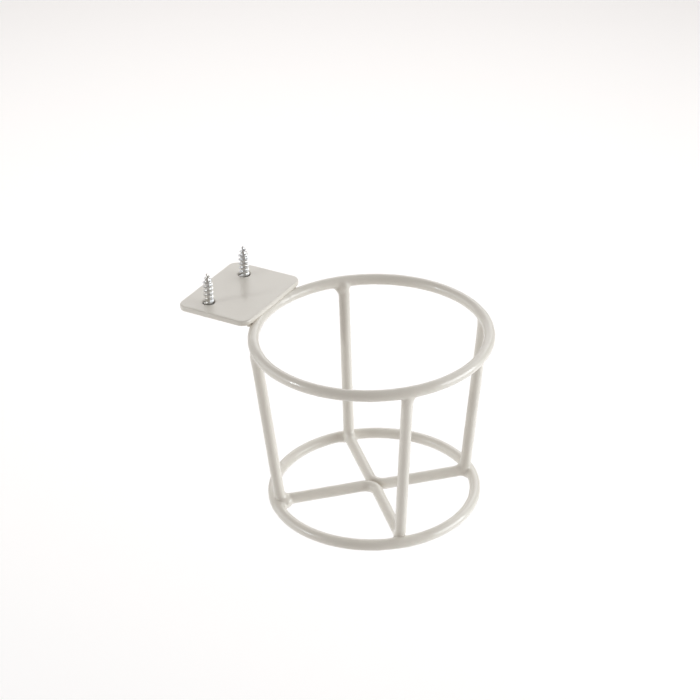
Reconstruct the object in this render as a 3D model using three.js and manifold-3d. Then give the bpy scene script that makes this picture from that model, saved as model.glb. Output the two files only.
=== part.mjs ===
// Wire cup holder that hangs under the edge of a desk top.
//
// A round basket of steel wire: a wide upper ring, a narrower lower ring, and two bent wires, each of
// which makes two posts and two floor spokes. The upper ring is welded under the front of a flat plate,
// and two pan-head wood screws with washers fix the plate to the underside of the desk top.
//
// Millimetres, +Z up. The origin is the middle of the plate's top face, which touches the desk.
// +Y points in under the desk, and +X runs along the desk's edge.

import * as THREE from 'three';
import { mergeVertices } from 'three/addons/utils/BufferGeometryUtils.js';
import Module from 'manifold-3d';

// Basket wire, before its powder coat
const WIRE_RADIUS = 2.0;
const UPPER_RING_RADIUS = 45;      // to the wire's centreline
const LOWER_RING_RADIUS = 40;
const RING_DROP = 69.4;            // from one ring's centreline to the other's
const SPOKE_RISE = 1.0;            // the floor spokes lie this much above the lower ring
const POST_TOP_INSET = 0.45;       // the posts' line, measured inwards from each ring's centreline
const POST_FOOT_INSET = 2.65;
const FOOT_BEND_RADIUS = 4.5;
const POST_SPREAD = Math.PI / 4;   // each post stands this far from the basket's X axis
const GAP = 0.3;                   // left between two pieces that touch

// Mounting plate
const PLATE_WIDTH = 42;
const PLATE_DEPTH = 32;
const PLATE_THICKNESS = 2;
const PLATE_CORNER = 4;
const PLATE_OVERLAP = 4;           // how far the plate reaches over the upper ring
const HOLE_RADIUS = 2.5;
const HOLE_SPACING = 26;
const HOLE_SETBACK = 6;            // the holes lie this far behind the plate's middle

// Screws and washers
const SHANK_RADIUS = 2.0;
const SCREW_LENGTH = 16;
const SCREW_POINT = 4;
const HEAD_RADIUS = 4.0;
const HEAD_HEIGHT = 2.7;
const HEAD_RIM = 0.7;              // the straight side below the dome
const RECESS_WIDTH = 1.0;
const RECESS_SPAN = 4.4;
const RECESS_DEPTH = 1.6;
const WASHER_RADIUS = 5.0;
const WASHER_HOLE = 2.3;
const WASHER_THICKNESS = 0.8;

// Weld beads
const COLLAR_RADIUS = 3.3;
const COLLAR_DROP = 3.0;
const COLLAR_RISE = 1.4;
const COLLAR_LIP = 0.35;           // how thick the collar is at its lower and its upper end
const COLLAR_SHOULDER = 0.5;
const BEAD_RADIUS = 2.9;
const PLATE_BEAD_RADIUS = 1.3;
const PLATE_BEAD_START = 5;        // degrees from the basket's Y axis
const PLATE_BEAD_END = 19;

// How finely round shapes are faceted
const RING_STEPS = 72;
const SECTION_SIDES = 16;
const BEND_STEPS = 7;
const ROUND_STEPS = 24;
const BEAD_STEPS = 16;
const DOME_STEPS = 5;

// Places that follow from the dimensions above, in the basket's frame: the upper ring's centre is 0, 0, 0
const BASKET_REACH = UPPER_RING_RADIUS + WIRE_RADIUS - PLATE_OVERLAP + PLATE_DEPTH / 2;
const BASKET_DROP = PLATE_THICKNESS + GAP + WIRE_RADIUS;
const POST_TOP = UPPER_RING_RADIUS - POST_TOP_INSET;
const POST_FOOT = LOWER_RING_RADIUS - POST_FOOT_INSET;
const POST_SLOPE = (POST_TOP - POST_FOOT) / RING_DROP;
const POST_LEAN = Math.atan(POST_SLOPE);
const POST_END = -(WIRE_RADIUS + GAP);
const FLOOR_LEVEL = SPOKE_RISE - RING_DROP;
const FLOOR_BEND_RADIUS = (WIRE_RADIUS + GAP / 2) / (1 / Math.sin(POST_SPREAD) - 1);
const WASHER_TOP = -(PLATE_THICKNESS + GAP);
const SCREW_SEAT = WASHER_TOP - WASHER_THICKNESS - GAP;

const wasm = await Module();
wasm.setup();

// ---- Solids ----

function solidOf(geometry) {
  const bare = geometry.clone();
  bare.deleteAttribute('normal');
  bare.deleteAttribute('uv');
  const merged = mergeVertices(bare, 1e-4);
  return new wasm.Manifold(new wasm.Mesh({
    numProp: 3,
    vertProperties: Float32Array.from(merged.attributes.position.array),
    triVerts: Uint32Array.from(merged.index.array),
  }));
}

function geometryOf(solid) {
  const mesh = solid.getMesh();
  const geometry = new THREE.BufferGeometry();
  geometry.setAttribute('position', new THREE.BufferAttribute(Float32Array.from(mesh.vertProperties), 3));
  geometry.setIndex(new THREE.BufferAttribute(Uint32Array.from(mesh.triVerts), 1));
  geometry.computeVertexNormals();
  return geometry;
}

function cut(geometry, tools) {
  const left = tools.reduce((solid, tool) => solid.subtract(solidOf(tool)), solidOf(geometry));
  return geometryOf(left);
}

// A solid of revolution about Z. The profile runs anticlockwise as [radius, height] points.
function turned(profile, steps = ROUND_STEPS) {
  const points = profile.map(([radius, height]) => new THREE.Vector2(radius, height));
  return new THREE.LatheGeometry(points, steps).rotateX(Math.PI / 2);
}

function circlePoints(radius, sides, x = 0, y = 0) {
  return Array.from({ length: sides }, (_, i) => {
    const angle = (2 * Math.PI * i) / sides;
    return [x + radius * Math.cos(angle), y + radius * Math.sin(angle)];
  });
}

// A path through chosen stations: straight lines take one step and bends take several.
class StationPath extends THREE.Curve {
  constructor(stations) {
    super();
    this.stations = stations;
  }
  getPoint(t, target = new THREE.Vector3()) {
    const place = t * (this.stations.length - 1);
    const index = Math.min(Math.max(Math.floor(place), 0), this.stations.length - 2);
    return target.lerpVectors(this.stations[index], this.stations[index + 1], place - index);
  }
  getUtoTmapping(u) {
    return u;
  }
}

function sweptWire(stations, radius) {
  const outline = circlePoints(radius, SECTION_SIDES).map(([x, y]) => new THREE.Vector2(x, y));
  return new THREE.ExtrudeGeometry(new THREE.Shape(outline), {
    steps: stations.length - 1,
    extrudePath: new StationPath(stations),
  });
}

// ---- Basket ----

function ringGeometry(ringRadius, level, wireRadius = WIRE_RADIUS) {
  const profile = circlePoints(wireRadius, SECTION_SIDES, ringRadius, level);
  return turned([...profile, profile[0]], RING_STEPS);
}

function radialPoint(angle, radius, height) {
  return new THREE.Vector3(radius * Math.cos(angle), radius * Math.sin(angle), height);
}

function postRadiusAt(height) {
  return POST_TOP + POST_SLOPE * height;
}

// Centre of a foot's bend, as [distance from the basket's axis, height]
function footBendCentre() {
  const reach = FOOT_BEND_RADIUS / Math.tan((Math.PI / 2 + POST_LEAN) / 2);
  return [postRadiusAt(FLOOR_LEVEL) - reach, FLOOR_LEVEL + FOOT_BEND_RADIUS];
}

// A post from its top end down to where its foot has bent level
function postStations(angle) {
  const [centreRadius, centreHeight] = footBendCentre();
  const stations = [radialPoint(angle, postRadiusAt(POST_END), POST_END)];
  for (let i = 0; i <= BEND_STEPS; i += 1) {
    const turn = -POST_LEAN + (i / BEND_STEPS) * (POST_LEAN - Math.PI / 2);
    const radius = centreRadius + FOOT_BEND_RADIUS * Math.cos(turn);
    stations.push(radialPoint(angle, radius, centreHeight + FOOT_BEND_RADIUS * Math.sin(turn)));
  }
  return stations;
}

// The bend at the middle of the floor that joins two spokes, on the side given by middleAngle
function floorBendStations(middleAngle) {
  const centre = radialPoint(middleAngle, FLOOR_BEND_RADIUS / Math.sin(POST_SPREAD), FLOOR_LEVEL);
  const sweep = Math.PI / 2 - POST_SPREAD;
  const stations = [];
  for (let i = 0; i <= BEND_STEPS; i += 1) {
    const turn = middleAngle + Math.PI + sweep * (1 - (2 * i) / BEND_STEPS);
    stations.push(radialPoint(turn, FLOOR_BEND_RADIUS, 0).add(centre));
  }
  return stations;
}

function basketWireStations(middleAngle) {
  return [
    ...postStations(middleAngle - POST_SPREAD),
    ...floorBendStations(middleAngle),
    ...postStations(middleAngle + POST_SPREAD).reverse(),
  ];
}

// ---- Welds ----

// A collar of weld round a post's top end, cut to sit against the upper ring
function postWeld(angle) {
  const inner = WIRE_RADIUS + GAP;
  const collar = turned([
    [inner, -COLLAR_DROP],
    [inner + COLLAR_LIP, -COLLAR_DROP],
    [COLLAR_RADIUS, -COLLAR_DROP / 3],
    [COLLAR_RADIUS, COLLAR_RISE / 3],
    [inner + COLLAR_SHOULDER, COLLAR_RISE],
    [inner, COLLAR_RISE],
    [inner, -COLLAR_DROP],
  ], BEAD_STEPS);
  collar.rotateY(POST_LEAN).translate(postRadiusAt(POST_END), 0, POST_END).rotateZ(angle);
  return cut(collar, [ringGeometry(UPPER_RING_RADIUS, 0, WIRE_RADIUS + GAP)]);
}

// A bead in the angle between a foot's bend and the lower ring
function footWeld(angle, wire) {
  const [bendRadius, bendHeight] = footBendCentre();
  const reach = new THREE.Vector2(LOWER_RING_RADIUS - bendRadius, -RING_DROP - bendHeight);
  reach.setLength(reach.length() - WIRE_RADIUS - GAP / 4);
  const bead = new THREE.SphereGeometry(BEAD_RADIUS, BEAD_STEPS, BEAD_STEPS / 2);
  bead.translate(...radialPoint(angle, bendRadius + reach.x, bendHeight + reach.y));
  return cut(bead, [
    ringGeometry(LOWER_RING_RADIUS, -RING_DROP, WIRE_RADIUS + GAP),
    sweptWire(wire, WIRE_RADIUS + GAP),
  ]);
}

// The bead where the two bent wires touch, at the middle of the floor
function floorWeld(wires) {
  const bead = new THREE.SphereGeometry(BEAD_RADIUS, BEAD_STEPS, BEAD_STEPS / 2);
  bead.translate(0, 0, FLOOR_LEVEL);
  return cut(bead, wires.map((wire) => sweptWire(wire, WIRE_RADIUS + GAP)));
}

// A bead along the upper ring's outer side, under the plate
function plateWeld(side) {
  const height = WIRE_RADIUS - PLATE_BEAD_RADIUS;
  const radius = UPPER_RING_RADIUS + WIRE_RADIUS + PLATE_BEAD_RADIUS / 2;
  const stations = [];
  for (let i = 0; i <= BEND_STEPS; i += 1) {
    const degrees = PLATE_BEAD_START + (i / BEND_STEPS) * (PLATE_BEAD_END - PLATE_BEAD_START);
    stations.push(radialPoint(Math.PI / 2 - side * THREE.MathUtils.degToRad(degrees), radius, height));
  }
  return cut(sweptWire(stations, PLATE_BEAD_RADIUS),
    [ringGeometry(UPPER_RING_RADIUS, 0, WIRE_RADIUS + GAP)]);
}

// ---- Plate, washers and screws ----

function plateGeometry() {
  const x = PLATE_WIDTH / 2 - PLATE_CORNER;
  const y = PLATE_DEPTH / 2 - PLATE_CORNER;
  const outline = new THREE.Shape();
  outline.absarc(x, y, PLATE_CORNER, 0, Math.PI / 2);
  outline.absarc(-x, y, PLATE_CORNER, Math.PI / 2, Math.PI);
  outline.absarc(-x, -y, PLATE_CORNER, Math.PI, Math.PI * 1.5);
  outline.absarc(x, -y, PLATE_CORNER, Math.PI * 1.5, Math.PI * 2);
  for (const side of [-1, 1]) {
    const hole = new THREE.Path();
    hole.absarc((side * HOLE_SPACING) / 2, HOLE_SETBACK, HOLE_RADIUS, 0, Math.PI * 2, true);
    outline.holes.push(hole);
  }
  const plate = new THREE.ExtrudeGeometry(outline, {
    depth: PLATE_THICKNESS,
    bevelEnabled: false,
    curveSegments: ROUND_STEPS / 2,
  });
  return plate.translate(0, 0, -PLATE_THICKNESS);
}

function washerGeometry() {
  return turned([
    [WASHER_HOLE, -WASHER_THICKNESS],
    [WASHER_RADIUS, -WASHER_THICKNESS],
    [WASHER_RADIUS, 0],
    [WASHER_HOLE, 0],
    [WASHER_HOLE, -WASHER_THICKNESS],
  ]);
}

// A pan-head screw, point up, with its seat at height 0 and a cross recess in its head
function screwGeometry() {
  const dome = [];
  for (let i = 0; i <= DOME_STEPS; i += 1) {
    const angle = (i / DOME_STEPS) * (Math.PI / 2);
    dome.push([HEAD_RADIUS * Math.sin(angle), -HEAD_RIM - (HEAD_HEIGHT - HEAD_RIM) * Math.cos(angle)]);
  }
  const body = turned([
    ...dome,
    [HEAD_RADIUS, 0],
    [SHANK_RADIUS, 0],
    [SHANK_RADIUS, SCREW_LENGTH - SCREW_POINT],
    [0, SCREW_LENGTH],
  ]);
  const slots = [0, Math.PI / 2].map((turn) => {
    const slot = new THREE.BoxGeometry(RECESS_SPAN, RECESS_WIDTH, 2 * RECESS_DEPTH);
    return slot.rotateZ(turn).translate(0, 0, -HEAD_HEIGHT);
  });
  return cut(body, slots);
}

// ---- Assembly ----

function paint(color, roughness, metalness) {
  return new THREE.MeshStandardMaterial({ color, roughness, metalness });
}

function mesh(name, geometry, material, place = [0, 0, 0]) {
  const piece = new THREE.Mesh(geometry, material);
  piece.name = name;
  piece.position.set(...place);
  return piece;
}

const ringCoat = paint(0xded9cf, 0.42, 0.0);
const wireCoat = paint(0xdad5ca, 0.42, 0.0);
const plateCoat = paint(0xd8d3c8, 0.45, 0.0);
const weldCoat = paint(0xd2ccc0, 0.5, 0.0);
const zincScrew = paint(0xb9bcc0, 0.32, 0.9);
const zincWasher = paint(0xaeb2b6, 0.38, 0.9);

const leftWire = basketWireStations(Math.PI);
const rightWire = basketWireStations(0);
const posts = [
  { corner: 'rear_right', angle: POST_SPREAD, wire: rightWire },
  { corner: 'rear_left', angle: Math.PI - POST_SPREAD, wire: leftWire },
  { corner: 'front_left', angle: Math.PI + POST_SPREAD, wire: leftWire },
  { corner: 'front_right', angle: -POST_SPREAD, wire: rightWire },
];
const sides = [{ hand: 'left', sign: -1 }, { hand: 'right', sign: 1 }];

const basket = new THREE.Group();
basket.position.set(0, -BASKET_REACH, -BASKET_DROP);
basket.add(
  mesh('upper_ring', ringGeometry(UPPER_RING_RADIUS, 0), ringCoat),
  mesh('lower_ring', ringGeometry(LOWER_RING_RADIUS, -RING_DROP), ringCoat),
  mesh('basket_wire_left', sweptWire(leftWire, WIRE_RADIUS), wireCoat),
  mesh('basket_wire_right', sweptWire(rightWire, WIRE_RADIUS), wireCoat),
  mesh('floor_weld', floorWeld([leftWire, rightWire]), weldCoat),
);
for (const { corner, angle, wire } of posts) {
  basket.add(mesh(`post_weld_${corner}`, postWeld(angle), weldCoat));
  basket.add(mesh(`foot_weld_${corner}`, footWeld(angle, wire), weldCoat));
}
for (const { hand, sign } of sides) {
  basket.add(mesh(`plate_weld_${hand}`, plateWeld(sign), weldCoat));
}

const group = new THREE.Group();
group.add(basket, mesh('mounting_plate', plateGeometry(), plateCoat));
for (const { hand, sign } of sides) {
  const x = (sign * HOLE_SPACING) / 2;
  group.add(mesh(`washer_${hand}`, washerGeometry(), zincWasher, [x, HOLE_SETBACK, WASHER_TOP]));
  group.add(mesh(`screw_${hand}`, screwGeometry(), zincScrew, [x, HOLE_SETBACK, SCREW_SEAT]));
}

export default group;
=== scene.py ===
"""A wire cup holder that hangs under a desk top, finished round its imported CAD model.

The basket is coated steel wire: two rings, and two bent wires that make its posts and floor spokes.
A flat plate is welded to the upper ring, and two wood screws with washers hold the plate.
Metres, +Z up. The basket's own frame has its origin at the middle of the upper ring.
"""
import math

import bmesh
import bpy
import numpy as np
from mathutils import Matrix, Vector


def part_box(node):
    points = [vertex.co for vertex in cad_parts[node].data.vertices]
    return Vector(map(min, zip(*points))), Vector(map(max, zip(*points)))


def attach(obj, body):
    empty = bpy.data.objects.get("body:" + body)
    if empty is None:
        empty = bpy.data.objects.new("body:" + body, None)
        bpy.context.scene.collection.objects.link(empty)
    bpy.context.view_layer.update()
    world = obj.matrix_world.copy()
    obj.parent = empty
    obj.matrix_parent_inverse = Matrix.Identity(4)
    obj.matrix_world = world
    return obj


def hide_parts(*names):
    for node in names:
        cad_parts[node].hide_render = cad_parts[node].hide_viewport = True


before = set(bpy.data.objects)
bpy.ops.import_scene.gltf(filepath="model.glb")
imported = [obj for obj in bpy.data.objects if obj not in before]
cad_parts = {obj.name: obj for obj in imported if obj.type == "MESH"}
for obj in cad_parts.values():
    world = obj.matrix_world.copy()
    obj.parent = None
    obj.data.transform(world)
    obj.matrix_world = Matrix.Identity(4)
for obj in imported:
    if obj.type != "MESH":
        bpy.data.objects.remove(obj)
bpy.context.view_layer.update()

MM = 0.001

# Wire and coat. The CAD wires are bare steel.
COAT = 0.15 * MM
POST_TOP_INSET = 0.45 * MM         # the posts' line, measured inwards from each ring's centreline
POST_FOOT_INSET = 2.65 * MM
POST_END_LEVEL = -1.2 * MM         # where the round of a post's top end is centred
POST_SPREAD = math.radians(45)
FOOT_BEND = 4.5 * MM
SPOKE_RISE = 1.0 * MM
SWAY = 0.05 * MM                   # how far the hand-welded basket strays from a perfect one
SWAY_WAVELENGTH = 130 * MM
SWAY_STILL = 0.75                  # it ends this far behind the basket's middle, in upper ring radii
SWAY_FADE = 0.6                    # and fades in over this stretch in front of that
COAT_SWELL = 0.022 * MM            # the coat's long and short unevenness, and how long their waves are
COAT_SWELL_WAVELENGTH = 7 * MM
COAT_RIPPLE = 0.008 * MM
COAT_RIPPLE_WAVELENGTH = 2.4 * MM
UPPER_SEAM = math.radians(76)      # where each hoop's two ends were welded, seen from above
LOWER_SEAM = math.radians(98)
SEAM_RISE = 0.16 * MM              # the collar where a hoop's two ends meet, and the dip either side of it
SEAM_WIDTH = 0.8 * MM
SEAM_DIP = 0.05 * MM
SEAM_DIP_WIDTH = 2.6 * MM

# Plate, washers and screws
PLATE_CORNER = 4 * MM
PLATE_EDGE = 0.55 * MM             # how round the coat leaves the plate's edges
HOLE_RADIUS = 2.5 * MM
WASHER_HOLE = 2.3 * MM
WASHER_EDGE = 0.18 * MM
WASHER_STEPS = 96
WASHER_CORNER_STEPS = 5
THREAD_PITCH = 1.8 * MM
THREAD_ROOT = 1.3 * MM
THREAD_CREST = 2.0 * MM
SCREW_POINT = 4.2 * MM
THREAD_START = 0.4                 # where the threaded shank starts, as a share of the neck's length
THREAD_RUN_IN = 1.2                # turns over which the thread grows to its full height
THREAD_SIDES = 48
NECK_LENGTH = 1.3 * MM
NECK_SWELL = 1.12                  # the neck's radius over the thread's root
NECK_FILLET = 0.5 * MM
RIM_HEIGHT = 0.8 * MM              # the straight side of a screw's head
RECESS_REACH = 2.2 * MM
RECESS_HALF_WIDTH = 0.52 * MM
RECESS_DEPTH = 1.8 * MM
RECESS_DRAFT = 0.12                # how much half the width of a recess arm shrinks for its depth
RECESS_TAPER = 0.9                 # how much the arms shorten for their depth
RECESS_TAPER_SCALE = 0.74          # makes that slope's field say a true distance
RECESS_EDGE = 0.16 * MM
HEAD_EDGE = 0.5 * MM
HEAD_STEP = 0.1 * MM
PLATE_BEAD = (5, 19)               # degrees from the basket's Y axis that a plate weld runs between

# Camera, measured from the middle of the upper ring
CAMERA_PLACE = Vector((-0.60882, -0.34622, 0.39739))
CAMERA_HEADING = math.radians(30.30)
CAMERA_PITCH = math.radians(-29.97)
CAMERA_ROLL = math.radians(-1.44)
CAMERA_LENS = 108.67

# Floor
FLOOR_DROP = 0.65                  # from the basket's bottom to the floor
FLOOR_HALF = 9.0
FLOOR_COLOR = (0.94, 0.925, 0.915)
FLOOR_GLOW_COLOR = (0.99, 0.995, 1.0)
FLOOR_GLOW = 0.05

# Places and sizes from the frame
upper_low, upper_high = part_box("upper_ring")
lower_low, lower_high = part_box("lower_ring")
BASKET = (upper_low + upper_high) / 2
BARE_WIRE = (upper_high.z - upper_low.z) / 2
WIRE = BARE_WIRE + COAT
UPPER_RADIUS = (upper_high.x - upper_low.x) / 2 - BARE_WIRE
LOWER_RADIUS = (lower_high.x - lower_low.x) / 2 - BARE_WIRE
LOWER_LEVEL = (lower_low.z + lower_high.z) / 2 - BASKET.z
FLOOR_LEVEL = LOWER_LEVEL + SPOKE_RISE
POST_TOP = UPPER_RADIUS - POST_TOP_INSET
POST_FOOT = LOWER_RADIUS - POST_FOOT_INSET
POST_SLOPE = (POST_TOP - POST_FOOT) / -LOWER_LEVEL
POST_LEAN = math.atan(POST_SLOPE)
FLOOR_BEND = WIRE / (1 / math.sin(POST_SPREAD) - 1)
plate_low, plate_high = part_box("mounting_plate")
PLATE_UNDER = plate_low.z - COAT
SEAT_LEVEL = PLATE_UNDER - 1.05 * MM    # the screws' heads sit on washers this thick

# Each bent wire's middle direction, and the level of its floor spokes
WIRES = {
    "left": (math.pi, FLOOR_LEVEL + 0.2 * MM),
    "right": (0.0, FLOOR_LEVEL - 0.3 * MM),
}

# Where each post stands, with the scatter of hand welding: its foot's direction, how far its top is turned
# from its foot, and how far its top and its foot are moved out. Its name ends with its wire's.
POSTS = {
    "rear_right": (math.radians(45), math.radians(-1.6), 0.0, 0.0),
    "rear_left": (math.radians(135), 0.0, 0.85 * MM, 0.8 * MM),
    "front_left": (math.radians(224.6), math.radians(1.8), 0.0, 0.0),
    "front_right": (math.radians(315), 0.0, 0.7 * MM, 0.35 * MM),
}


# ---- Camera, light and floor ----

def make_camera():
    data = bpy.data.cameras.new("camera")
    data.lens = CAMERA_LENS
    data.clip_start = 0.05
    data.clip_end = 40
    camera = bpy.data.objects.new("camera", data)
    bpy.context.scene.collection.objects.link(camera)
    turn = Matrix.Rotation(CAMERA_HEADING - math.pi / 2, 4, "Z")
    tilt = Matrix.Rotation(math.pi / 2 + CAMERA_PITCH, 4, "X")
    roll = Matrix.Rotation(CAMERA_ROLL, 4, "Z")
    camera.matrix_world = Matrix.Translation(BASKET + CAMERA_PLACE) @ turn @ tilt @ roll
    bpy.context.scene.camera = camera


# Name, azimuth and elevation in degrees, distance, size, power
SOFTBOXES = (
    ("back_wall", 30, 25, 2.2, (2.6, 1.2), 3.0),
    ("left_wall", 118, 16, 2.2, (2.6, 1.4), 13.5),
    ("right_box", -68, 8, 1.6, (1.1, 0.9), 17.8),
    ("low_right_box", -74, -19, 0.8, (0.2, 0.2), 0.15),
    ("left_box", 137, 23, 1.8, (0.20, 0.14), 4.6),
    ("high_right_box", -15, 45, 1.8, (1.2, 1.0), 5.0),
)
FLOOR_LIGHT_SIZE = (1.8, 2.2)
FLOOR_LIGHT_POWER = 14.0
FLOOR_LIGHT_BEHIND = 1.75
FLOOR_LIGHT_RISE = 0.45
SOFTBOX_COLOR = (0.905, 0.9625, 1.0)
ROOM_COLOR = (1.0, 0.93, 0.895)
ROOM_STRENGTH = 0.34


def make_softbox(name, azimuth, elevation, distance, size, power):
    """A softbox that faces the basket from its direction."""
    data = bpy.data.lights.new(name, "AREA")
    data.shape = "RECTANGLE"
    data.size, data.size_y = size
    data.energy = power
    data.color = SOFTBOX_COLOR
    light = bpy.data.objects.new(name, data)
    light.visible_camera = False
    bpy.context.scene.collection.objects.link(light)
    around, up = math.radians(azimuth), math.radians(elevation)
    aside = math.cos(up) * distance
    towards = Vector((aside * math.cos(around), aside * math.sin(around), math.sin(up) * distance))
    target = BASKET + Vector((0, 0, LOWER_LEVEL / 2))
    facing = towards.to_track_quat("Z", "Y").to_matrix().to_4x4()
    light.matrix_world = Matrix.Translation(target + towards) @ facing


def make_floor_light():
    """A wide light that shines straight down on the floor behind the basket."""
    data = bpy.data.lights.new("floor_light", "AREA")
    data.shape = "RECTANGLE"
    data.size, data.size_y = FLOOR_LIGHT_SIZE
    data.energy = FLOOR_LIGHT_POWER
    light = bpy.data.objects.new("floor_light", data)
    light.visible_camera = False
    bpy.context.scene.collection.objects.link(light)
    behind = Matrix.Rotation(CAMERA_HEADING, 4, "Z") @ Vector((FLOOR_LIGHT_BEHIND, 0, 0))
    light.matrix_world = Matrix.Translation(BASKET + behind + Vector((0, 0, FLOOR_LIGHT_RISE)))


def make_world():
    world = bpy.data.worlds.new("studio")
    world.use_nodes = True
    background = world.node_tree.nodes["Background"]
    background.inputs["Color"].default_value = (*ROOM_COLOR, 1)
    background.inputs["Strength"].default_value = ROOM_STRENGTH
    bpy.context.scene.world = world
    bpy.context.scene.view_settings.view_transform = "Standard"


def make_floor():
    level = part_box("lower_ring")[0].z - FLOOR_DROP
    mesh = bpy.data.meshes.new("floor")
    corners = [(x * FLOOR_HALF, y * FLOOR_HALF, level) for x, y in ((-1, -1), (1, -1), (1, 1), (-1, 1))]
    mesh.from_pydata(corners, [], [(0, 1, 2, 3)])
    floor = bpy.data.objects.new("floor", mesh)
    bpy.context.scene.collection.objects.link(floor)
    material, _, _, shader = new_material("floor_paper")
    shader.inputs["Base Color"].default_value = (*FLOOR_COLOR, 1)
    shader.inputs["Roughness"].default_value = 0.9
    shader.inputs["Emission Color"].default_value = (*FLOOR_GLOW_COLOR, 1)
    shader.inputs["Emission Strength"].default_value = FLOOR_GLOW
    mesh.materials.append(material)


# ---- Materials ----

COAT_LIGHT = (0.805, 0.767, 0.692)
COAT_DARK = (0.778, 0.738, 0.662)
# Painted shade: the darker colour mixed into the coat in weld creases, where less light reaches
COAT_CREASE_SHADE = (0.50, 0.445, 0.37)
COAT_ROUGHNESS = (0.30, 0.40)
COAT_GLOSS = 0.5
CLOUD_SCALE = 45                   # the scales of the textures, in waves or cells to the metre
SATIN_SCALE = 260
PEEL_SCALE = 620
NIB_SCALE = 130
NIB_SIZE = 0.06                    # how far a nib reaches, as a share of the nibs' spacing
NIB_HEIGHT = 0.00002
ZINC_ROUGHNESS = (0.24, 0.42)
ZINC_FILM_SCALE = 220
ZINC_SATIN_SCALE = 900
ZINC_GRAIN_SCALE = 4200
ZINC_GRAIN_HEIGHT = 0.000006
ZINC_MARK_HEIGHT = 0.000012


def new_material(name):
    material = bpy.data.materials.new(name)
    material.use_nodes = True
    tree = material.node_tree
    return material, tree.nodes, tree.links, tree.nodes["Principled BSDF"]


def noise(nodes, links, scale, detail=2.0, roughness=0.5):
    """A noise texture in the object's own metres. Its scale is in waves to the metre."""
    place = nodes.new("ShaderNodeTexCoord")
    texture = nodes.new("ShaderNodeTexNoise")
    texture.inputs["Scale"].default_value = scale
    texture.inputs["Detail"].default_value = detail
    texture.inputs["Roughness"].default_value = roughness
    links.new(place.outputs["Object"], texture.inputs["Vector"])
    return texture.outputs["Fac"]


def span(nodes, links, source, start, end, low=0.3, high=0.7):
    """Carries a texture's value from low..high over to start..end."""
    node = nodes.new("ShaderNodeMapRange")
    node.inputs["From Min"].default_value = low
    node.inputs["From Max"].default_value = high
    node.inputs["To Min"].default_value = start
    node.inputs["To Max"].default_value = end
    links.new(source, node.inputs["Value"])
    return node.outputs["Result"]


def blend_colors(nodes, links, amount, first, second):
    """Mixes two colours, each given as numbers or as another node's output."""
    node = nodes.new("ShaderNodeMix")
    node.data_type = "RGBA"
    links.new(amount, node.inputs["Factor"])
    for socket, color in (("A", first), ("B", second)):
        target = next(s for s in node.inputs if s.name == socket and s.type == "RGBA")
        if isinstance(color, tuple):
            target.default_value = (*color, 1)
        else:
            links.new(color, target)
    return next(s for s in node.outputs if s.type == "RGBA")


def bump(nodes, links, height, distance, under=None):
    node = nodes.new("ShaderNodeBump")
    node.inputs["Distance"].default_value = distance
    links.new(height, node.inputs["Height"])
    if under is not None:
        links.new(under, node.inputs["Normal"])
    return node.outputs["Normal"]


def coat_material(name, orange_peel, gloss_roughness):
    """Satin powder coat: faint clouding, orange peel, a few nibs, and painted shade darkening the weld
    creases.
    """
    material, nodes, links, shader = new_material(name)
    clouds = span(nodes, links, noise(nodes, links, CLOUD_SCALE, 3), 0, 1)
    base = blend_colors(nodes, links, clouds, COAT_DARK, COAT_LIGHT)
    # The attribute read here paints shade into the weld creases
    crease_shade = nodes.new("ShaderNodeAttribute")
    crease_shade.attribute_name = "crease_shade"
    base = blend_colors(nodes, links, crease_shade.outputs["Fac"], base, COAT_CREASE_SHADE)
    links.new(base, shader.inputs["Base Color"])
    satin = span(nodes, links, noise(nodes, links, SATIN_SCALE, 2), *COAT_ROUGHNESS)
    links.new(satin, shader.inputs["Roughness"])
    peel = bump(nodes, links, noise(nodes, links, PEEL_SCALE, 2), orange_peel)
    nibs = nodes.new("ShaderNodeTexVoronoi")
    nibs.inputs["Scale"].default_value = NIB_SCALE
    place = nodes.new("ShaderNodeTexCoord")
    links.new(place.outputs["Object"], nibs.inputs["Vector"])
    speck = span(nodes, links, nibs.outputs["Distance"], 1, 0, 0.0, NIB_SIZE)
    links.new(bump(nodes, links, speck, NIB_HEIGHT, peel), shader.inputs["Normal"])
    shader.inputs["Coat Weight"].default_value = COAT_GLOSS
    shader.inputs["Coat Roughness"].default_value = gloss_roughness
    return material


def zinc_material(name, cool, warm, scratches):
    """Bright zinc plate with a faint two-tone passivation, a fine grain and tumbling marks."""
    material, nodes, links, shader = new_material(name)
    film = span(nodes, links, noise(nodes, links, ZINC_FILM_SCALE, 3), 0, 1)
    links.new(blend_colors(nodes, links, film, cool, warm), shader.inputs["Base Color"])
    shader.inputs["Metallic"].default_value = 1.0
    satin = span(nodes, links, noise(nodes, links, ZINC_SATIN_SCALE, 3), *ZINC_ROUGHNESS)
    links.new(satin, shader.inputs["Roughness"])
    grain = bump(nodes, links, noise(nodes, links, ZINC_GRAIN_SCALE, 3), ZINC_GRAIN_HEIGHT)
    place = nodes.new("ShaderNodeTexCoord")
    stretch = nodes.new("ShaderNodeMapping")
    stretch.inputs["Scale"].default_value = (1.0, 9.0, 1.0)
    stretch.inputs["Rotation"].default_value = (0, 0, 0.6)
    links.new(place.outputs["Object"], stretch.inputs["Vector"])
    marks = nodes.new("ShaderNodeTexNoise")
    marks.inputs["Scale"].default_value = scratches
    marks.inputs["Detail"].default_value = 4.0
    links.new(stretch.outputs["Vector"], marks.inputs["Vector"])
    marked = bump(nodes, links, marks.outputs["Fac"], ZINC_MARK_HEIGHT, grain)
    links.new(marked, shader.inputs["Normal"])
    return material


# ---- Unevenness ----

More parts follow.
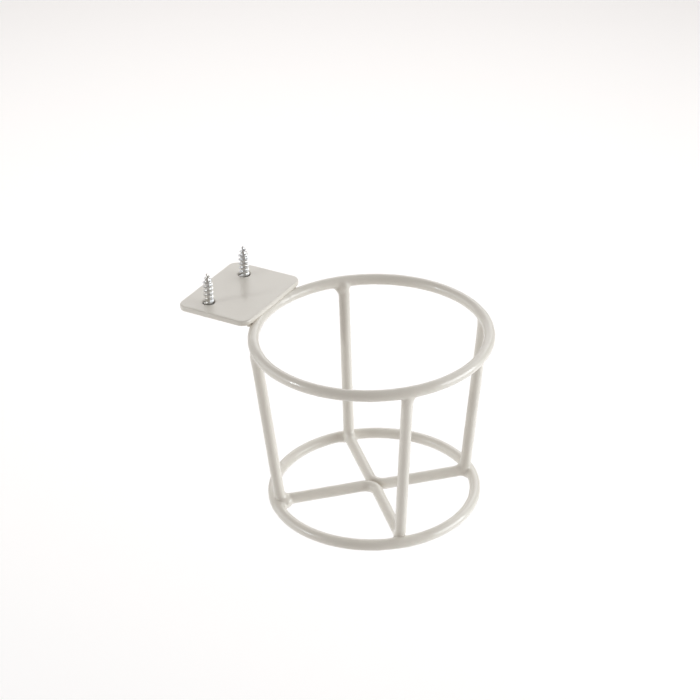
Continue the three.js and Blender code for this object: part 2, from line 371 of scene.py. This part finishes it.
def lumps(points, wavelength, seed, waves=7):
    """A smooth unevenness, mostly between -1 and 1, that depends only on the place."""
    rng = np.random.default_rng(seed)
    ways = rng.normal(size=(waves, 3))
    ways /= np.linalg.norm(ways, axis=1)[:, None]
    shifts = rng.uniform(0, 2 * math.pi, waves)
    return np.sin(points @ ways.T * (2 * math.pi / wavelength) + shifts).sum(axis=1) / math.sqrt(2 * waves)


def coat_unevenness(points):
    """How much thicker the powder coat is at each point."""
    swell = COAT_SWELL * lumps(points, COAT_SWELL_WAVELENGTH, 1)
    return swell + COAT_RIPPLE * lumps(points, COAT_RIPPLE_WAVELENGTH, 2)


def swayed(points):
    """Moves points of the basket as its slightly bent wires do. It fades out under the plate."""
    away = np.clip((UPPER_RADIUS * SWAY_STILL - points[:, 1]) / (UPPER_RADIUS * SWAY_FADE), 0, 1)
    moved = points.copy()
    for axis in range(3):
        moved[:, axis] += SWAY * away * lumps(points, SWAY_WAVELENGTH, 20 + axis, 4)
    return moved


# ---- Meshes ----

def make_piece(name, points, faces, material, smooth_angle=None):
    mesh = bpy.data.meshes.new(name)
    mesh.from_pydata(np.asarray(points).tolist(), [], faces)
    shell = bmesh.new()
    shell.from_mesh(mesh)
    bmesh.ops.remove_doubles(shell, verts=shell.verts, dist=0.0005 * MM)
    bmesh.ops.holes_fill(shell, edges=[edge for edge in shell.edges if edge.is_boundary], sides=0)
    bmesh.ops.recalc_face_normals(shell, faces=shell.faces)
    shell.to_mesh(mesh)
    shell.free()
    mesh.shade_smooth()
    if smooth_angle is not None:
        mesh.set_sharp_from_angle(angle=math.radians(smooth_angle))
    mesh.materials.append(material)
    piece = bpy.data.objects.new(name, mesh)
    bpy.context.scene.collection.objects.link(piece)
    return piece


def in_basket(points):
    """Basket points to the part's frame."""
    return points + np.array(BASKET)


def lattice_faces(rows, columns, wrap_rows=False):
    """Quads of a lattice whose columns wrap round, and whose rows may too."""
    faces = []
    for row in range(rows if wrap_rows else rows - 1):
        after = (row + 1) % rows
        for column in range(columns):
            beside = (column + 1) % columns
            faces.append((row * columns + column, row * columns + beside,
                          after * columns + beside, after * columns + column))
    return faces


def hoop_points(radius, level, turn, lift, wire):
    """Points of a hoop at each turn round its axis and each lift round its wire."""
    out = radius + wire * np.cos(lift)
    points = np.stack([out * np.cos(turn), out * np.sin(turn), level + wire * np.sin(lift)], axis=-1)
    return points.reshape(-1, 3)


def ring_mesh(radius, level, seam_angle, steps=420, sides=40):
    """A hoop of wire with the faint collar where its two ends were butt-welded."""
    around = np.linspace(0, 2 * math.pi, steps, endpoint=False)
    section = np.linspace(0, 2 * math.pi, sides, endpoint=False)
    turn, lift = np.meshgrid(around, section, indexing="ij")
    off_seam = (np.mod(turn - seam_angle + math.pi, 2 * math.pi) - math.pi) * radius
    collar = SEAM_RISE * np.exp(-(off_seam / SEAM_WIDTH) ** 2)
    collar -= SEAM_DIP * np.exp(-(off_seam / SEAM_DIP_WIDTH) ** 2)
    wire = WIRE + collar * (0.8 + 0.2 * np.sin(3 * lift + 1))
    wire = wire + coat_unevenness(hoop_points(radius, level, turn, lift, wire)).reshape(wire.shape)
    return hoop_points(radius, level, turn, lift, wire), lattice_faces(steps, sides, wrap_rows=True)


def tube_mesh(path, ways, radii, sides=40):
    """A tube with rounded ends along a path with known directions."""
    side = np.cross(ways[0], (0.3, 0.5, 0.8))
    sections = []
    turns = np.linspace(0, 2 * math.pi, sides, endpoint=False)[:, None]
    for place, way, radius in zip(path, ways, radii):
        side = side - way * (side @ way)
        side /= np.linalg.norm(side)
        other = np.cross(way, side)
        unit = np.cos(turns) * side + np.sin(turns) * other
        thick = radius + coat_unevenness(place + unit * radius)[:, None] * (radius / WIRE)
        sections.append(place + unit * thick)
    points = np.concatenate(sections)
    last = (len(path) - 1) * sides
    faces = lattice_faces(len(path), sides)
    faces.append(tuple(range(sides - 1, -1, -1)))
    faces.append(tuple(range(last, last + sides)))
    return points, faces


# ---- Basket wires ----

UP = np.array([0, 0, 1.0])
TOP_STEPS = 12                     # how finely each stretch of a bent wire is divided
POST_STEPS = 90
FOOT_STEPS = 24
SPOKE_STEPS = 40
FLOOR_BEND_STEPS = 28


def outwards(angle):
    return np.array([math.cos(angle), math.sin(angle), 0])


def post_radius(level):
    return POST_TOP + POST_SLOPE * level


class Post:
    """The centreline of one post, its foot's bend and its spoke."""

    def __init__(self, corner):
        angle, turned, top_moved, moved = POSTS[corner]
        level = WIRES[corner.split("_")[1]][1]
        self.out = outwards(angle)
        top_radius = post_radius(POST_END_LEVEL) + top_moved
        self.top = top_radius * outwards(angle + turned) + POST_END_LEVEL * UP
        reach = FOOT_BEND / math.tan((math.pi / 2 + POST_LEAN) / 2)
        self.bend_out = post_radius(level) + moved - reach
        self.bend_centre = self.bend_out * self.out + (level + FOOT_BEND) * UP
        self.square = math.cos(POST_LEAN) * self.out - math.sin(POST_LEAN) * UP
        self.sloping = -math.sin(POST_LEAN) * self.out - math.cos(POST_LEAN) * UP
        self.bend_start = self.bend_centre + FOOT_BEND * self.square
        self.bend_end = self.bend_out * self.out + level * UP
        self.inner_end = FLOOR_BEND / math.tan(POST_SPREAD) * self.out + level * UP


def half_wire(post):
    """Places, directions and radii of one wire from a post's rounded top to the inner end of its spoke."""
    down = post.bend_start - post.top
    down /= np.linalg.norm(down)
    top = post.top
    places, ways, radii = [], [], []
    for share in np.linspace(0.04, 1, TOP_STEPS):
        round_turn = share * math.pi / 2
        places.append(top - down * WIRE * math.cos(round_turn))
        ways.append(down)
        radii.append(WIRE * math.sin(round_turn))
    for share in np.linspace(0, 1, POST_STEPS)[1:-1]:
        places.append(top + (post.bend_start - top) * share)
        ways.append(down)
        radii.append(WIRE)
    for turn in np.linspace(0, math.pi / 2 - POST_LEAN, FOOT_STEPS):
        aside = math.cos(turn) * post.square + math.sin(turn) * post.sloping
        places.append(post.bend_centre + FOOT_BEND * aside)
        ways.append(math.cos(turn) * post.sloping - math.sin(turn) * post.square)
        radii.append(WIRE)
    for share in np.linspace(0, 1, SPOKE_STEPS)[1:-1]:
        places.append(post.bend_end + (post.inner_end - post.bend_end) * share)
        ways.append(-post.out)
        radii.append(WIRE)
    return places, ways, radii


def basket_wire_mesh(wire, corners):
    """One bent wire, from the top of one post over the floor to the top of the other."""
    middle, level = WIRES[wire]
    first, second = [half_wire(Post(corner)) for corner in corners]
    centre = FLOOR_BEND / math.sin(POST_SPREAD) * outwards(middle) + level * UP
    places, ways, radii = first
    sweep = math.pi / 2 - POST_SPREAD
    for turn in np.linspace(middle + math.pi + sweep, middle + math.pi - sweep, FLOOR_BEND_STEPS):
        places.append(centre + FLOOR_BEND * np.array([math.cos(turn), math.sin(turn), 0]))
        ways.append(np.array([math.sin(turn), -math.cos(turn), 0]))
        radii.append(WIRE)
    places += second[0][::-1]
    ways += [-way for way in second[1][::-1]]
    radii += second[2][::-1]
    return tube_mesh(places, ways, radii)


# ---- Solid fields: each is negative inside and near its surface says how far off it is ----

def ring_field(points, radius, level):
    return np.hypot(np.hypot(points[:, 0], points[:, 1]) - radius, points[:, 2] - level) - WIRE


def rod_field(points, start, end, radius):
    start, end = np.asarray(start, float), np.asarray(end, float)
    along = end - start
    share = np.clip((points - start) @ along / max(along @ along, 1e-18), 0, 1)
    return np.linalg.norm(points - start - share[:, None] * along, axis=1) - radius


def bend_field(points, centre, first, second, bend, sweep, radius):
    """An arc of wire from direction first towards direction second, both square to each other."""
    local = points - centre
    x, y = local @ first, local @ second
    off = local @ np.cross(first, second)
    turn = np.clip(np.arctan2(y, x), 0, sweep)
    return np.sqrt((x - bend * np.cos(turn)) ** 2 + (y - bend * np.sin(turn)) ** 2 + off ** 2) - radius


def post_field(points, post):
    """A post, its foot's bend and its spoke."""
    upright = rod_field(points, post.top, post.bend_start, WIRE)
    sweep = math.pi / 2 - POST_LEAN
    bend = bend_field(points, post.bend_centre, post.square, post.sloping, FOOT_BEND, sweep, WIRE)
    spoke = rod_field(points, post.bend_end, post.inner_end, WIRE)
    return np.minimum(np.minimum(upright, bend), spoke)


def floor_bend_field(points, wire):
    """The two spokes of one wire near the middle of the floor, and the bend that joins them."""
    middle, level = WIRES[wire]
    inner = FLOOR_BEND / math.tan(POST_SPREAD)
    centre = FLOOR_BEND / math.sin(POST_SPREAD) * outwards(middle) + level * UP
    start = middle + math.pi / 2 + POST_SPREAD
    first = outwards(start)
    second = outwards(start + math.pi / 2)
    field = bend_field(points, centre, first, second, FLOOR_BEND, math.pi - 2 * POST_SPREAD, WIRE)
    for side in (-1, 1):
        out = outwards(middle + side * POST_SPREAD)
        spoke = rod_field(points, inner * out + level * UP, 20 * MM * out + level * UP, WIRE)
        field = np.minimum(field, spoke)
    return field


def melt(first, second, reach):
    """Joins two solids with a fillet about as wide as reach."""
    near = np.clip(reach - np.abs(first - second), 0, None) / np.maximum(reach, 1e-9)
    return np.minimum(first, second) - near * near * reach / 4


def ease(value, start, end):
    share = np.clip((value - start) / (end - start), 0, 1)
    return share * share * (3 - 2 * share)


def surface_mesh(field, low, high, step):
    """A closed mesh of the surface where field is zero, between two corners."""
    axes = [np.arange(a, b + step, step) for a, b in zip(low, high)]
    grid = np.stack(np.meshgrid(*axes, indexing="ij"), axis=-1)
    inside = (field(grid.reshape(-1, 3)) < 0).reshape(grid.shape[:3])
    cells = [size - 1 for size in inside.shape]
    count = np.zeros(cells, int)
    for i in (0, 1):
        for j in (0, 1):
            for k in (0, 1):
                count += inside[i:i + cells[0], j:j + cells[1], k:k + cells[2]]
    mixed = (count > 0) & (count < 8)
    number = np.full(cells, -1)
    number[mixed] = np.arange(mixed.sum())
    points = np.argwhere(mixed) * step + np.array([axis[0] for axis in axes]) + step / 2
    faces = []
    for axis in range(3):
        beside, above = (axis + 1) % 3, (axis + 2) % 3
        here = np.take(inside, range(inside.shape[axis] - 1), axis)
        there = np.take(inside, range(1, inside.shape[axis]), axis)
        places = np.argwhere(here != there)
        leaving = here[tuple(places.T)]
        corners = []
        for step_beside, step_above in ((1, 1), (0, 1), (0, 0), (1, 0)):
            cell = places.copy()
            cell[:, beside] -= step_beside
            cell[:, above] -= step_above
            corners.append(number[tuple(cell.T)])
        quads = np.stack(corners, axis=1)
        quads[~leaving] = quads[~leaving][:, ::-1]
        faces += [tuple(quad) for quad in quads.tolist()]
    return settled(points, field, step), faces


def main_shell(points, faces):
    """The largest shell of a mesh. Pockets sealed inside it and flakes beside it are left out."""
    corners = np.array(faces)
    label = np.arange(len(points))
    while True:
        lowest = label.copy()
        np.minimum.at(lowest, corners, label[corners].min(axis=1)[:, None])
        lowest = lowest[lowest]
        if (lowest == label).all():
            break
        label = lowest
    kept = label == np.bincount(label).argmax()
    number = np.cumsum(kept) - 1
    return points[kept], [tuple(face) for face in number[corners[kept[corners[:, 0]]]].tolist()]


def slope_of(field, points, reach=0.004 * MM):
    slope = np.empty_like(points)
    for axis in range(3):
        aside = np.zeros(3)
        aside[axis] = reach
        slope[:, axis] = (field(points + aside) - field(points - aside)) / (2 * reach)
    return slope


def settled(points, field, step, rounds=5):
    """Moves points on to the surface where field is zero."""
    for _ in range(rounds):
        slope = slope_of(field, points)
        move = field(points) / np.maximum((slope ** 2).sum(axis=1), 0.05)
        points = points - np.clip(move, -step, step)[:, None] * slope
    return points


# ---- Welds ----

WELD_REACH = 7.0 * MM
WELD_STEP = 0.19 * MM
WELD_PROUD = 0.03 * MM             # a weld's skin stands this far over the wires' coat
WELD_DIVE = 0.30 * MM              # and dives this far below it at its rim
DIVE_START = 0.72                  # where the dive starts and ends, as shares of the weld's reach
DIVE_END = 0.95
CREASE_FACING = (0.35, 0.75)       # the painted crease shade fades out as its two sides come to face the same way
CREASE_NEAR = (0.55, 1.45)         # and as they go further off, in shade widths
PLATE_BEAD_RADIUS = 1.3 * MM
PLATE_BEAD_RIPPLE = 0.12 * MM
PLATE_BEAD_BALLS = 11


def weld_skin(first, second, beads, spine, fillet, reach=WELD_REACH, roughness=0.04 * MM, soft=2.4 * MM,
              shade_width=1.1 * MM, shade_depth=1.0, one_sided=False, seed=5):
    """The skin of a weld between two solids, and the painted shade in the crease at each of its points.

    beads are (place, radius) balls of weld metal, spine is the line that the weld runs along, and fillet
    gives the width of the fillet at each point. A one-sided painted shade darkens the second solid only.
    """
    spine = [np.asarray(end, float) for end in spine]

    def field(points):
        solid = melt(first(points), second(points), fillet(points))
        bead_off = np.full(len(points), 1.0)
        for place, radius in beads:
            ball = np.linalg.norm(points - place, axis=1) - radius
            solid = melt(solid, ball, soft)
            bead_off = np.minimum(bead_off, ball)
        off = rod_field(points, *spine, 0)
        rough = 1 - ease(bead_off, 0.2 * MM, 2.0 * MM)
        solid = solid - coat_unevenness(points) - roughness * rough * lumps(points, 1.9 * MM, seed)
        dive = ease(off, reach * DIVE_START, reach * DIVE_END)
        solid = solid - WELD_PROUD + (WELD_PROUD + WELD_DIVE) * dive
        return np.maximum(solid, off - reach)

    margin = reach + 3 * WELD_STEP
    low, high = np.minimum(*spine) - margin, np.maximum(*spine) + margin
    points, faces = main_shell(*surface_mesh(field, low, high, WELD_STEP))
    one, two = first(points), second(points)
    facing = (unit_slope(first, points) * unit_slope(second, points)).sum(axis=1)
    # Painted shade: darkens the coat where the two solids meet in a narrow crease, where less light
    # reaches
    painted_shade = shade_depth * (1 - ease(np.abs(one - two), 0.0, shade_width))
    painted_shade *= 1 - ease(facing, *CREASE_FACING)
    near, far = CREASE_NEAR
    painted_shade *= 1 - ease(np.maximum(one, two), near * shade_width, far * shade_width)
    if one_sided:
        painted_shade *= ease(one - two, -0.2 * MM, 0.2 * MM)
    return points, faces, painted_shade


def unit_slope(field, points):
    slope = slope_of(field, points)
    return slope / np.maximum(np.linalg.norm(slope, axis=1), 1e-9)[:, None]


# Stores a weld's painted crease shade as a point attribute for the coat material
def set_crease_shade(piece, crease_shade):
    attribute = piece.data.attributes.new("crease_shade", "FLOAT", "POINT")
    attribute.data.foreach_set("value", crease_shade.astype(np.float32))


def corner_place(angle, radius, level, along):
    """A basket place near a post: its distance from the axis, its level, and its offset along the ring."""
    return radius * outwards(angle) + along * outwards(angle + math.pi / 2) + level * UP


# Weld metal at each post's top, as (outwards, level, along the ring, radius) in millimetres from the post
POST_BEADS = {
    "rear_right": ((0.3, -2.5, 1.9, 1.3), (-0.8, -1.2, -0.2, 1.0)),
    "rear_left": ((-0.3, -2.4, 0.9, 1.0), (-0.2, -2.5, -0.9, 1.0)),
    "front_left": ((0.0, -2.6, 0.6, 1.1), (0.4, -2.0, -0.4, 1.0)),
    "front_right": ((0.6, -2.2, -0.5, 1.2), (0.5, -2.3, 0.8, 1.1)),
}

# The fillet at a post's top, in millimetres. It has its least width down to the first of two levels under
# the ring's middle, and by the second it has grown by the post's own amount.
POST_FILLET_LEAST = 0.45
POST_FILLET_LEVELS = (0.8 * MM, 2.4 * MM)
POST_FILLETS = {"rear_right": 0.5, "rear_left": 0.7, "front_left": 0.55, "front_right": 0.9}

# Weld metal at each foot, as (distance inwards from the ring, level over it, along the ring, radius)
FOOT_BEADS = {
    "rear_right": ((2.0, -0.2, 1.6, 1.1), (1.8, -0.7, -1.5, 1.1)),
    "rear_left": ((2.0, 0.4, 1.9, 1.7), (3.5, 0.0, 1.6, 1.1), (4.0, 1.0, 1.5, 0.6), (2.2, 0.2, -1.7, 1.2)),
    "front_left": ((2.2, 0.1, -1.4, 1.2), (2.0, -0.4, 0.8, 1.0)),
    "front_right": ((2.2, 0.0, -1.3, 1.2), (2.4, 0.0, 1.6, 1.2)),
}
FOOT_FILLETS = {"rear_right": 0.7, "rear_left": 0.7, "front_left": 0.7, "front_right": 1.4}
# How dark the painted shade is in each foot's crease
FOOT_CREASE_SHADES = {"rear_right": 0.3, "rear_left": 0.4, "front_left": 0.4, "front_right": 0.2}


def post_weld_mesh(corner):
    post = Post(corner)
    angle = POSTS[corner][0] + POSTS[corner][1]
    top = post_radius(-WIRE) + POSTS[corner][2]
    beads = []
    for out, level, along, radius in POST_BEADS[corner]:
        place = corner_place(angle, top + out * MM, level * MM, along * MM)
        beads.append((place, radius * MM))

    def fillet(points):
        grown = ease(-points[:, 2], *POST_FILLET_LEVELS)
        return (POST_FILLET_LEAST + POST_FILLETS[corner] * grown) * MM

    return weld_skin(
        lambda points: ring_field(points, UPPER_RADIUS, 0),
        lambda points: post_field(points, post),
        beads,
        [corner_place(angle, top, -1.6 * MM, 0)] * 2,
        fillet,
        # a faint painted shade in the crease under the ring
        shade_depth=0.25,
        seed=30 + len(corner),
    )


def foot_weld_mesh(corner):
    post = Post(corner)
    angle = POSTS[corner][0]
    beads = []
    for inwards, level, along, radius in FOOT_BEADS[corner]:
        place = corner_place(angle, LOWER_RADIUS - inwards * MM, LOWER_LEVEL + level * MM, along * MM)
        beads.append((place, radius * MM))
    return weld_skin(
        lambda points: ring_field(points, LOWER_RADIUS, LOWER_LEVEL),
        lambda points: post_field(points, post),
        beads,
        [corner_place(angle, LOWER_RADIUS - 2.3 * MM, LOWER_LEVEL + 1.0 * MM, 0)] * 2,
        lambda points: np.full(len(points), FOOT_FILLETS[corner] * MM),
        roughness=0.055 * MM,
        shade_depth=FOOT_CREASE_SHADES[corner],
        seed=50 + len(corner),
    )


def floor_weld_mesh():
    middle = FLOOR_LEVEL * UP
    beads = [(middle + np.array([-0.2, -0.4, -0.9]) * MM, 1.2 * MM)]
    return weld_skin(
        lambda points: floor_bend_field(points, "left"),
        lambda points: floor_bend_field(points, "right"),
        beads,
        [middle] * 2,
        lambda points: np.full(len(points), 0.3 * MM),
        # painted shade spread wide over the back wire, where the front wire's bend shades it
        shade_width=2.4 * MM,
        one_sided=True,
        seed=71,
    )


def plate_field(points):
    """The coated plate, in the basket's frame."""
    middle = np.array([(plate_low[i] + plate_high[i]) / 2 - BASKET[i] for i in range(3)])
    middle[2] -= COAT / 2
    half = np.array([(plate_high[i] - plate_low[i]) / 2 for i in range(3)]) + (0, 0, COAT / 2) - PLATE_EDGE
    beyond = np.abs(points - middle) - half
    outside = np.linalg.norm(np.maximum(beyond, 0), axis=1)
    return outside + np.minimum(beyond.max(axis=1), 0) - PLATE_EDGE


def plate_weld_mesh(side):
    """A rippled bead along the upper ring's outer side, under the plate."""
    centres = []
    for degrees in np.linspace(*PLATE_BEAD, PLATE_BEAD_BALLS):
        place = outwards(math.pi / 2 - side * math.radians(degrees)) * (UPPER_RADIUS + WIRE + 0.6 * MM)
        centres.append(place + (WIRE - 1.25 * MM) * UP)
    radii = PLATE_BEAD_RADIUS + PLATE_BEAD_RIPPLE * np.sin(np.arange(PLATE_BEAD_BALLS) * 2.4)
    return weld_skin(
        lambda points: ring_field(points, UPPER_RADIUS, 0),
        plate_field,
        list(zip(centres, radii)),
        (centres[0], centres[-1]),
        lambda points: np.full(len(points), 0.8 * MM),
        reach=3.3 * MM,
        soft=0.55 * MM,
        seed=90 + side,
    )


# ---- Plate, washers and screws ----

def rounded_outline(inset, steps=12):
    """Points round the plate's outline, drawn in by inset."""
    middle = (plate_low + plate_high) / 2
    half = (plate_high - plate_low) / 2
    bend = PLATE_CORNER - inset
    points = []
    for quarter, (x_side, y_side) in enumerate(((1, 1), (-1, 1), (-1, -1), (1, -1))):
        for share in np.linspace(0, 1, steps):
            turn = (quarter + share) * math.pi / 2
            x = middle.x + x_side * (half.x - PLATE_CORNER) + bend * math.cos(turn)
            y = middle.y + y_side * (half.y - PLATE_CORNER) + bend * math.sin(turn)
            points.append((x, y))
    return points


def hole_outline(side):
    low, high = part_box(f"screw_{side}")
    x, y = (low.x + high.x) / 2, (low.y + high.y) / 2

    def outline(inset, steps=56):
        turns = np.linspace(0, 2 * math.pi, steps, endpoint=False)
        radius = HOLE_RADIUS - COAT + inset
        return [(x + radius * math.cos(turn), y + radius * math.sin(turn)) for turn in turns]

    return outline


def plate_mesh():
    """The plate with its edges and holes softly rounded."""
    quarter = np.linspace(0, math.pi / 2, 6)
    top = [(PLATE_EDGE * (1 - math.sin(turn)), plate_high.z - PLATE_EDGE * (1 - math.cos(turn)))
           for turn in quarter]
    bottom = [(inset, plate_high.z + PLATE_UNDER - level) for inset, level in reversed(top)]
    flat = PLATE_EDGE + 0.35 * MM
    profile = [(flat, plate_high.z), *top, *bottom, (flat, PLATE_UNDER)]
    shell = bmesh.new()
    rims = ([], [])
    for outline in (rounded_outline, hole_outline("left"), hole_outline("right")):
        rows = [[shell.verts.new((x, y, level)) for x, y in outline(inset)] for inset, level in profile]
        for upper, lower in zip(rows, rows[1:]):
            for i, corner in enumerate(upper):
                shell.faces.new((upper[i - 1], corner, lower[i], lower[i - 1]))
        for rim, row in zip(rims, (rows[0], rows[-1])):
            rim += [shell.edges.get((row[i - 1], row[i])) for i in range(len(row))]
    for rim in rims:
        bmesh.ops.triangle_fill(shell, use_beauty=True, edges=rim)
    shell.verts.index_update()
    points = np.array([vert.co for vert in shell.verts])
    faces = [tuple(vert.index for vert in face.verts) for face in shell.faces]
    shell.free()
    return points, faces


def washer_mesh(side):
    """A plain washer: one rounded rectangle turned about its axis, with a stamped edge above."""
    low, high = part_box(f"washer_{side}")
    middle = np.array([(low.x + high.x) / 2, (low.y + high.y) / 2, 0])
    rim = (high.x - low.x) / 2
    top = PLATE_UNDER - 0.02 * MM
    under = SEAT_LEVEL + 0.01 * MM
    corners = (
        (rim - 2 * WASHER_EDGE, top - 2 * WASHER_EDGE, 2 * WASHER_EDGE),
        (WASHER_HOLE + WASHER_EDGE, top - WASHER_EDGE, WASHER_EDGE),
        (WASHER_HOLE + WASHER_EDGE, under + WASHER_EDGE, WASHER_EDGE),
        (rim - WASHER_EDGE, under + WASHER_EDGE, WASHER_EDGE),
    )
    section = []
    for quarter, (out, level, edge) in enumerate(corners):
        for share in np.linspace(0, 1, WASHER_CORNER_STEPS):
            turn = (quarter + share) * math.pi / 2
            section.append((out + edge * math.cos(turn), level + edge * math.sin(turn)))
    points = []
    for turn in np.linspace(0, 2 * math.pi, WASHER_STEPS, endpoint=False):
        points += [middle + out * outwards(turn) + level * UP for out, level in section]
    return np.array(points), lattice_faces(WASHER_STEPS, len(section), wrap_rows=True)


def head_field(points):
    """A pan head with its cross recess and a short plain neck. Its seat is at level 0."""
    low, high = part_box("screw_left")
    radius = (high.x - low.x) / 2
    depth = SEAT_LEVEL - low.z - RIM_HEIGHT
    x, y, z = points.T
    out = np.hypot(x, y)
    dome = (np.hypot(out / radius, np.minimum(z + RIM_HEIGHT, 0) / depth) - 1) * depth
    head = -melt(-dome, -z, HEAD_EDGE)
    sunk = np.clip(z + depth + RIM_HEIGHT, 0, None)
    half_width = RECESS_HALF_WIDTH - RECESS_DRAFT * sunk
    arms = np.minimum(np.abs(x) - half_width, np.abs(y) - half_width)
    cone = (out - RECESS_REACH + RECESS_TAPER * sunk) * RECESS_TAPER_SCALE
    recess = np.maximum(np.maximum(arms, cone), sunk - RECESS_DEPTH)
    head = -melt(-head, recess, RECESS_EDGE)
    neck = np.maximum(out - THREAD_ROOT * NECK_SWELL, np.maximum(z - NECK_LENGTH, -z - MM))
    return melt(head, neck, NECK_FILLET)


def thread_mesh(length):
    """A wood screw's threaded shank up to its sharp point, from inside its neck. Right-handed."""
    shape = ((0.0, 1.0), (0.05, 1.0), (0.14, 0.45), (0.23, 0.06), (0.36, 0.0),
             (0.55, 0.0), (0.73, 0.06), (0.82, 0.45), (0.95, 1.0))
    sides = THREAD_SIDES
    start = THREAD_START * NECK_LENGTH
    turns = int(length / THREAD_PITCH) + 2
    rows = [(turn + at, height) for turn in range(-1, turns) for at, height in shape]
    points = []
    for at, height in rows:
        for column in range(sides):
            z = min(max(start + THREAD_PITCH * (at + column / sides), start), length)
            taper = min((length - z) / SCREW_POINT, 1)
            run_in = min(max((z - start) / (THREAD_RUN_IN * THREAD_PITCH), 0), 1)
            thread_height = (THREAD_CREST - THREAD_ROOT) * taper ** 0.4 * run_in
            radius = THREAD_ROOT * taper ** 0.8 + thread_height * height
            turn = 2 * math.pi * column / sides
            points.append((radius * math.cos(turn), radius * math.sin(turn), z))
    faces = []
    per_turn = len(shape)
    for row in range(len(rows) - 1):
        for column in range(sides):
            ahead = row if column + 1 < sides else row + per_turn
            if ahead + 1 >= len(rows):
                continue
            beside = (column + 1) % sides
            faces.append((row * sides + column, ahead * sides + beside,
                          (ahead + 1) * sides + beside, (row + 1) * sides + column))
    return np.array(points), faces


def screw_mesh(side, turn):
    """A pan-head wood screw, point up, turned about its axis."""
    low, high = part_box(f"screw_{side}")
    reach = (high.x - low.x) / 2 + 0.3 * MM
    corner = np.array([reach, reach, 0])
    head, head_faces = surface_mesh(head_field, -corner + (0, 0, low.z - SEAT_LEVEL - 0.3 * MM),
                                    corner + (0, 0, NECK_LENGTH + 0.3 * MM), HEAD_STEP)
    thread, thread_faces = thread_mesh(high.z - SEAT_LEVEL)
    points = np.concatenate([head, thread])
    faces = head_faces + [tuple(i + len(head) for i in face) for face in thread_faces]
    points = points @ np.array(Matrix.Rotation(turn, 3, "Z")).T
    return points + ((low.x + high.x) / 2, (low.y + high.y) / 2, SEAT_LEVEL), faces


# ---- Scene ----

make_camera()
make_world()
for softbox in SOFTBOXES:
    make_softbox(*softbox)
make_floor_light()
make_floor()

coat = coat_material("powder_coat_finish", 0.014 * MM, 0.08)
weld_coat = coat_material("coated_weld_finish", 0.018 * MM, 0.06)
zinc = zinc_material("zinc_plate_finish", (0.70, 0.72, 0.75), (0.76, 0.74, 0.69), 500)


def finish_piece(name, node, body, slot, points, faces, material, crease_shade=None, smooth_angle=None):
    piece = make_piece(name, points, faces, material, smooth_angle)
    if crease_shade is not None:
        set_crease_shade(piece, crease_shade)
    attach(piece, body)
    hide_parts(node)
    return piece


def basket_piece(name, node, slot, mesh, material):
    points, faces = mesh[0], mesh[1]
    # A weld mesh also carries its painted crease shade
    crease_shade = mesh[2] if len(mesh) > 2 else None
    return finish_piece(name, node, "holder", slot, in_basket(swayed(points)), faces, material, crease_shade)


basket_piece("coated_upper_ring", "upper_ring", "powder_coat",
             ring_mesh(UPPER_RADIUS, 0, UPPER_SEAM), coat)
basket_piece("coated_lower_ring", "lower_ring", "powder_coat",
             ring_mesh(LOWER_RADIUS, LOWER_LEVEL, LOWER_SEAM), coat)
basket_piece("coated_wire_left", "basket_wire_left", "powder_coat",
             basket_wire_mesh("left", ("rear_left", "front_left")), coat)
basket_piece("coated_wire_right", "basket_wire_right", "powder_coat",
             basket_wire_mesh("right", ("front_right", "rear_right")), coat)
for corner in POSTS:
    basket_piece(f"weld_post_{corner}", f"post_weld_{corner}", "coated_weld",
                 post_weld_mesh(corner), weld_coat)
    basket_piece(f"weld_foot_{corner}", f"foot_weld_{corner}", "coated_weld",
                 foot_weld_mesh(corner), weld_coat)
basket_piece("weld_floor", "floor_weld", "coated_weld", floor_weld_mesh(), weld_coat)

for side, sign in (("left", -1), ("right", 1)):
    basket_piece(f"weld_plate_{side}", f"plate_weld_{side}", "coated_weld",
                 plate_weld_mesh(sign), weld_coat)
finish_piece("coated_plate", "mounting_plate", "holder", "powder_coat", *plate_mesh(), coat)
for side, turn in (("left", 0.45), ("right", 1.2)):
    finish_piece(f"zinc_washer_{side}", f"washer_{side}", f"washer_{side}", "zinc_plate",
                 *washer_mesh(side), zinc, smooth_angle=50)
    finish_piece(f"zinc_screw_{side}", f"screw_{side}", f"screw_{side}", "zinc_plate",
                 *screw_mesh(side, turn), zinc, smooth_angle=50)
